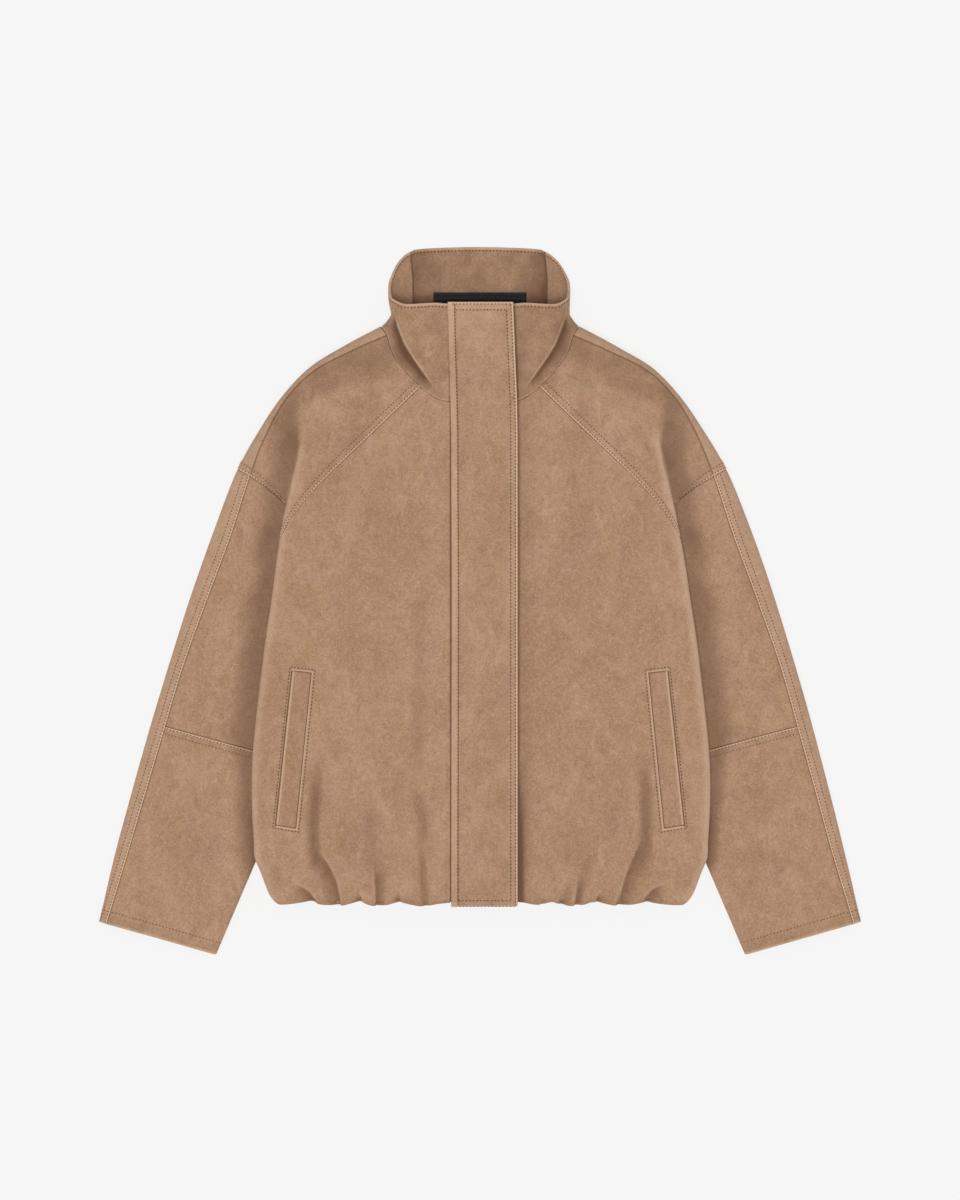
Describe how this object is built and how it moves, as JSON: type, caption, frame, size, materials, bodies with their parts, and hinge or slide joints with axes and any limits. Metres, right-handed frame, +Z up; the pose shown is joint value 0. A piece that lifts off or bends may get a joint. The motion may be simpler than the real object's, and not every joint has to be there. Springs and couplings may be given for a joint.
{
  "type": "suede jacket laid flat",
  "caption": "Cropped suede jacket laid flat on its back: raglan shoulders, long sleeves, funnel collar, covered placket, welt pockets and rolled hem.",
  "frame": {"origin": "middle of the laid garment's outline, on the surface it lies on", "axes": "+X towards the viewer's right across the garment, +Y up the garment from hem to collar, +Z up from the surface, out of the front"},
  "size_m": [0.7992, 0.7402, 0.0302],
  "materials": {
    "suede": "napped tan suede, matt with a soft sheen",
    "label_cloth": "plain black woven label, matt",
    "thread": "brown polyester topstitching, matt"
  },
  "bodies": {
    "root": {"back_body": "suede", "front_body_left": "suede", "front_body_right": "suede", "shoulder_front_left": "suede", "shoulder_front_right": "suede", "shoulder_back_left": "suede", "shoulder_back_right": "suede", "sleeve_upper_left": "suede", "sleeve_upper_right": "suede", "sleeve_lower_left": "suede", "sleeve_lower_right": "suede", "sleeve_back_left": "suede", "sleeve_back_right": "suede", "collar_front_left": "suede", "collar_front_right": "suede", "collar_back": "suede", "placket_flap": "suede", "pocket_welt_left": "suede", "pocket_welt_right": "suede", "label": "label_cloth"}
  },
  "joints": []
}
